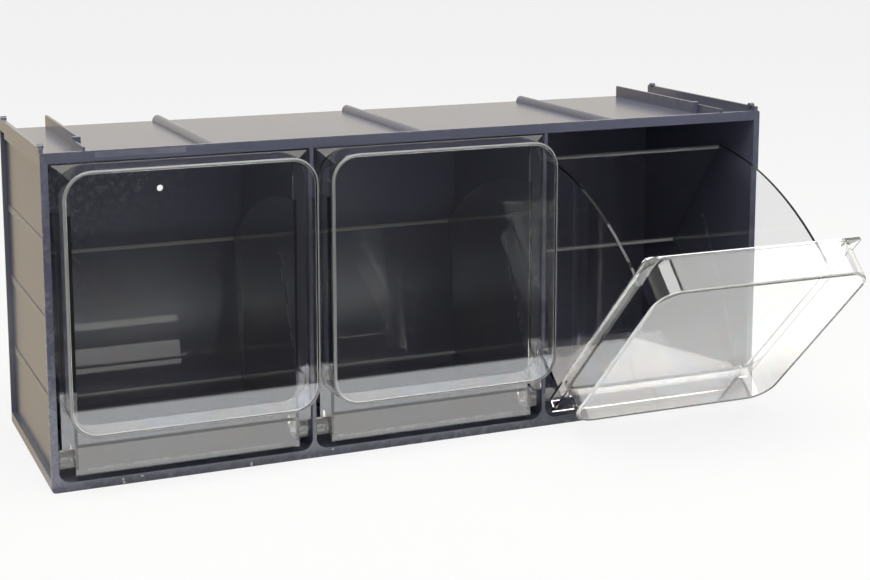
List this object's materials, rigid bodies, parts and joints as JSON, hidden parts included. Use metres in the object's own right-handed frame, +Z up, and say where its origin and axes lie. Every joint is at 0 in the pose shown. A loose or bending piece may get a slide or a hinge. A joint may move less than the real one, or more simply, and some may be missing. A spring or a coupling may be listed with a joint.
{
  "type": "tilt bin parts cabinet",
  "caption": "Low wide housing holding clear tilt-out parts bins side by side, each pivoting forward at its foot, with stacking rails on top and screw holes in the back.",
  "frame": {"origin": "middle of the housing's base, on the plane it stands on", "axes": "+Z up, -Y out of the front towards the user, +X to the right of a viewer who faces the front, along the width"},
  "size_m": [0.6, 0.3521, 0.2557],
  "materials": {
    "housing": "glossy dark blue-grey moulded plastic",
    "clear_bin": "clear polished moulded plastic"
  },
  "bodies": {
    "housing": {"front_frame": "housing", "left_side_wall": "housing", "right_side_wall": "housing", "left_divider": "housing", "right_divider": "housing", "back_panel": "housing", "top_panel": "housing", "floor_panel": "housing", "left_stacking_rail": "housing", "right_stacking_rail": "housing"},
    "bin_1": {"bin_1_flange": "clear_bin", "bin_1_box": "clear_bin", "bin_1_tray": "clear_bin", "bin_1_left_pivot": "clear_bin", "bin_1_right_pivot": "clear_bin"},
    "bin_2": {"bin_2_flange": "clear_bin", "bin_2_box": "clear_bin", "bin_2_tray": "clear_bin", "bin_2_left_pivot": "clear_bin", "bin_2_right_pivot": "clear_bin"},
    "bin_3": {"bin_3_flange": "clear_bin", "bin_3_box": "clear_bin", "bin_3_tray": "clear_bin", "bin_3_left_pivot": "clear_bin", "bin_3_right_pivot": "clear_bin"}
  },
  "joints": [
    {"name": "bin_1_tilt", "type": "hinge", "parent": "housing", "child": "bin_1", "pos_m": [-0.19733, -0.0805, 0.0245], "axis": [1, 0, 0], "range_deg": [0, 45]},
    {"name": "bin_2_tilt", "type": "hinge", "parent": "housing", "child": "bin_2", "pos_m": [0, -0.0805, 0.0245], "axis": [1, 0, 0], "range_deg": [0, 45]},
    {"name": "bin_3_tilt", "type": "hinge", "parent": "housing", "child": "bin_3", "pos_m": [0.19733, -0.0805, 0.0245], "axis": [1, 0, 0], "range_deg": [-45, 0]}
  ]
}
